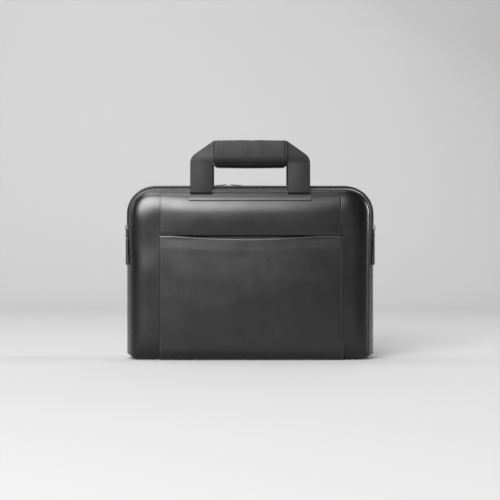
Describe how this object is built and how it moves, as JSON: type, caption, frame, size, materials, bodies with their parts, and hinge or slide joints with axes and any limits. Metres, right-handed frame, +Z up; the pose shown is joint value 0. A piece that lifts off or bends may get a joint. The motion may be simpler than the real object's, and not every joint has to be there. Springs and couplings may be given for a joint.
{
  "type": "leather briefcase",
  "caption": "Slim soft leather briefcase with a rounded zipped body, a raised centre panel with a slip pocket, and two chamfered carrying handles.",
  "frame": {"origin": "middle of the base, on the surface that the bag stands on", "axes": "+X to the right of someone facing the front, along the width; +Y to the back; +Z up"},
  "size_m": [0.4064, 0.1056, 0.3515],
  "materials": {
    "body_leather": "smooth semi-gloss charcoal leather",
    "panel_leather": "smooth satin charcoal leather",
    "handle_leather": "smooth satin charcoal leather",
    "grip_leather": "soft wrapped charcoal leather",
    "trim_leather": "edge-painted charcoal leather",
    "pull_leather": "black leather with painted edges",
    "hardware": "gloss black enamel on zinc",
    "zip_tape": "woven black polyester tape",
    "zip_coil": "black nylon coil",
    "lining": "woven grey twill",
    "padding": "brushed padded fabric",
    "board": "plain stiffener board",
    "grip_core": "dense foam filler"
  },
  "bodies": {
    "case": {"base_panel": "body_leather", "side_gusset_left": "body_leather", "side_gusset_right": "body_leather", "middle_band": "body_leather", "rear_band": "body_leather", "front_band_lower": "body_leather", "front_shell_lower": "body_leather", "rear_shell_lower": "body_leather", "rear_shell_upper": "body_leather", "front_yoke_lower": "panel_leather", "pocket_front": "panel_leather", "rear_centre_panel": "panel_leather", "front_piping_lower": "trim_leather", "rear_piping": "trim_leather", "rear_handle_strip": "trim_leather", "rear_handle_tabs": "handle_leather", "rear_zip_tape_front": "zip_tape", "rear_zip_tape_rear": "zip_tape", "main_zip_tape_rear": "zip_tape", "main_zip_tape_front_lower": "zip_tape", "rear_zip_coil_front": "zip_coil", "rear_zip_coil_rear": "zip_coil", "main_zip_coil_rear": "zip_coil", "main_zip_coil_front_lower": "zip_coil", "main_gusset_lining": "lining", "rear_gusset_lining": "lining", "front_lining_lower": "lining", "rear_face_lining": "lining", "pocket_back": "lining", "divider_panel": "padding", "laptop_sleeve": "padding", "rear_board": "board", "base_board": "board"},
    "front_upper": {"front_shell_upper": "body_leather", "front_band_upper": "body_leather", "front_yoke_upper": "panel_leather", "front_piping_upper": "trim_leather", "front_handle_strip": "trim_leather", "front_handle_tabs": "handle_leather", "main_zip_tape_front_upper": "zip_tape", "main_zip_coil_front_upper": "zip_coil", "front_lining_upper": "lining"},
    "front_handle": {"front_handle_strap": "handle_leather", "front_handle_grip_core": "grip_core", "front_handle_grip_wrap": "grip_leather"},
    "rear_handle": {"rear_handle_strap": "handle_leather", "rear_handle_grip_core": "grip_core", "rear_handle_grip_wrap": "grip_leather"},
    "main_slider_left": {"main_slider_left": "hardware"},
    "main_pull_left": {"main_pull_loop_left": "hardware", "main_pull_tab_left": "pull_leather"},
    "main_slider_right": {"main_slider_right": "hardware"},
    "main_pull_right": {"main_pull_loop_right": "hardware", "main_pull_tab_right": "pull_leather"},
    "rear_slider_left": {"rear_slider_left": "hardware"},
    "rear_pull_left": {"rear_pull_loop_left": "hardware", "rear_pull_tab_left": "pull_leather"},
    "rear_slider_right": {"rear_slider_right": "hardware"},
    "rear_pull_right": {"rear_pull_loop_right": "hardware", "rear_pull_tab_right": "pull_leather"}
  },
  "joints": [
    {"name": "mouth_fold", "type": "hinge", "parent": "case", "child": "front_upper", "pos_m": [0, -0.046, 0.22], "axis": [1, 0, 0], "range_deg": [0, 25], "stiffness_Nm_per_rad": 0.3},
    {"name": "front_handle_fold", "type": "hinge", "parent": "front_upper", "child": "front_handle", "pos_m": [0, -0.0448, 0.2653], "axis": [1, 0, 0], "range_deg": [-22, 100]},
    {"name": "rear_handle_fold", "type": "hinge", "parent": "case", "child": "rear_handle", "pos_m": [0, 0.0448, 0.2653], "axis": [-1, 0, 0], "range_deg": [-22, 100]},
    {"name": "main_slide_left", "type": "slide", "parent": "case", "child": "main_slider_left", "axis": [0, 0, 1], "range_m": [0, 0.016]},
    {"name": "main_pull_swing_left", "type": "hinge", "parent": "main_slider_left", "child": "main_pull_left", "pos_m": [-0.20125, -0.014, 0.2112], "axis": [0, 1, 0], "range_deg": [0, 150]},
    {"name": "main_slide_right", "type": "slide", "parent": "case", "child": "main_slider_right", "axis": [0, 0, 1], "range_m": [0, 0.016]},
    {"name": "main_pull_swing_right", "type": "hinge", "parent": "main_slider_right", "child": "main_pull_right", "pos_m": [0.20125, -0.014, 0.2112], "axis": [0, -1, 0], "range_deg": [0, 150]},
    {"name": "rear_slide_left", "type": "slide", "parent": "case", "child": "rear_slider_left", "axis": [-1, 0, 0], "range_m": [0, 0.104]},
    {"name": "rear_pull_swing_left", "type": "hinge", "parent": "rear_slider_left", "child": "rear_pull_left", "pos_m": [-0.0437, 0.014, 0.28275], "axis": [0, 1, 0], "range_deg": [0, 90]},
    {"name": "rear_slide_right", "type": "slide", "parent": "case", "child": "rear_slider_right", "axis": [1, 0, 0], "range_m": [0, 0.175]},
    {"name": "rear_pull_swing_right", "type": "hinge", "parent": "rear_slider_right", "child": "rear_pull_right", "pos_m": [-0.0273, 0.014, 0.28275], "axis": [0, -1, 0], "range_deg": [0, 90]}
  ]
}
